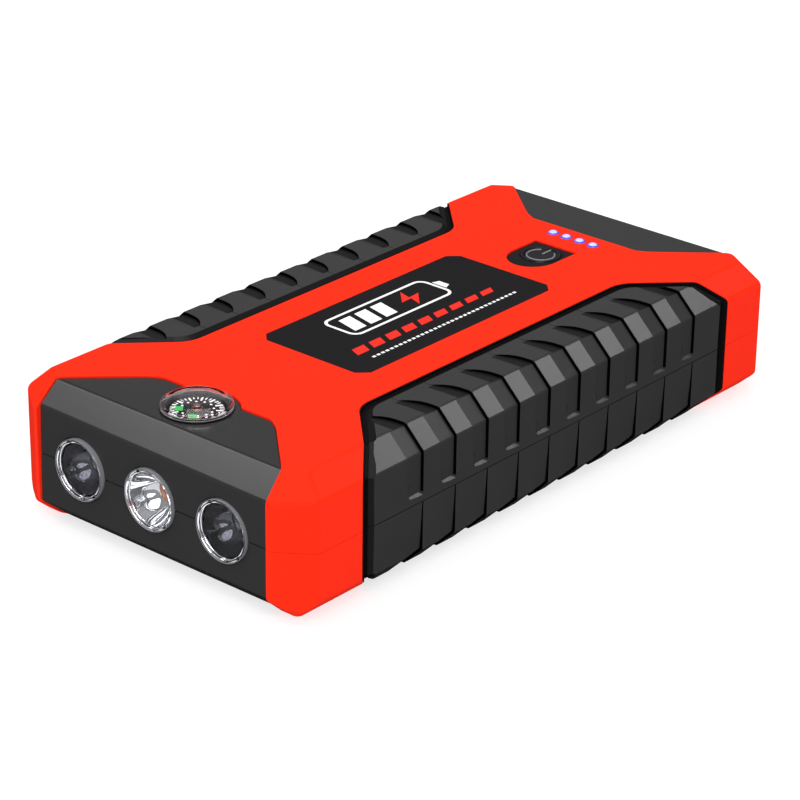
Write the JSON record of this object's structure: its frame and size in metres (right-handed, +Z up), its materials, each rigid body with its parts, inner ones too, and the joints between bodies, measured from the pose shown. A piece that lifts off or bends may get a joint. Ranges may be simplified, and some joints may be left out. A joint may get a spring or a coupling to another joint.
{
  "type": "jump starter pack",
  "caption": "Flat bevelled lithium jump starter with ribbed side grips, front torch lights, button compass, power button, charge indicators and rear sockets.",
  "frame": {"origin": "centre of the case in plan, on the surface it rests on", "axes": "+Z up; +Y from the front lights to the rear sockets; +X to the right of someone who faces the front lights"},
  "size_m": [0.087, 0.17, 0.0361],
  "materials": {
    "red_case": "semi-gloss moulded plastic, bright orange-red",
    "dark_panel": "smooth satin dark grey plastic",
    "grip_rubber": "satin black rubberised plastic",
    "label": "printed near-black label",
    "black_trim": "semi-gloss black plastic",
    "indicator": "milky light pipe with a cool glow",
    "clear_plastic": "clear polished plastic",
    "reflector": "vacuum-metallised bowl",
    "led_phosphor": "yellow phosphor under clear resin",
    "compass_card": "black card with white ticks and green markers",
    "magnet": "nickel-plated bar magnet",
    "brass": "plated brass",
    "plated_steel": "nickel-plated steel",
    "circuit_board": "green solder mask",
    "cell_foil": "laminated pouch foil",
    "foam": "closed-cell foam",
    "white_plastic": "moulded white plastic",
    "blue_plastic": "moulded blue plastic",
    "flap_rubber": "matt black rubber",
    "wire_insulation": "silicone insulation"
  },
  "bodies": {
    "case": {"upper_cover": "red_case", "lower_cover": "red_case", "front_panel_upper": "dark_panel", "front_panel_lower": "dark_panel", "rear_panel_upper": "dark_panel", "rear_panel_lower": "dark_panel", "left_grip_upper": "grip_rubber", "left_grip_lower": "grip_rubber", "right_grip_upper": "grip_rubber", "right_grip_lower": "grip_rubber", "label_plate": "label", "button_bezel": "black_trim", "tact_switch": "plated_steel", "control_board": "circuit_board", "indicator_leds": "indicator", "compass_cup": "black_trim", "compass_pivot": "brass", "compass_dome": "clear_plastic", "torch_lens_left": "clear_plastic", "torch_lens_middle": "clear_plastic", "torch_lens_right": "clear_plastic", "torch_reflector_left": "reflector", "torch_reflector_middle": "reflector", "torch_reflector_right": "reflector", "torch_leds": "led_phosphor", "torch_board": "circuit_board", "battery_cell_1": "cell_foil", "battery_cell_2": "cell_foil", "battery_cell_3": "cell_foil", "battery_cell_4": "cell_foil", "cell_bus_bars": "plated_steel", "battery_foam_top": "foam", "battery_foam_bottom": "foam", "main_board": "circuit_board", "usb_socket_left": "plated_steel", "usb_socket_right": "plated_steel", "usb_tongues": "white_plastic", "dc_output_jack": "black_trim", "dc_input_jack": "black_trim", "dc_pins": "brass", "jump_socket": "blue_plastic", "jump_contacts": "brass", "dust_cover_pin": "plated_steel", "jump_leads": "wire_insulation", "torch_wires": "wire_insulation", "case_screws": "plated_steel", "board_screws": "plated_steel"},
    "button": {"power_button": "black_trim", "switch_plunger": "black_trim"},
    "dial": {"compass_dial": "compass_card", "compass_magnet": "magnet"},
    "flap": {"dust_cover": "flap_rubber"}
  },
  "joints": [
    {"name": "power_button_press", "type": "slide", "parent": "case", "child": "button", "axis": [0, 0, -1], "range_m": [0, 0.0005], "stiffness_N_per_m": 2000, "springref_m": -0.0003},
    {"name": "compass_dial_turn", "type": "hinge", "parent": "case", "child": "dial", "pos_m": [0, -0.0698, 0.032], "axis": [0, 0, 1], "continuous": true},
    {"name": "dust_cover_hinge", "type": "hinge", "parent": "case", "child": "flap", "pos_m": [0.0086, 0.0841, 0.0168], "axis": [0, 0, 1], "range_deg": [0, 110], "stiffness_Nm_per_rad": 0.004}
  ]
}
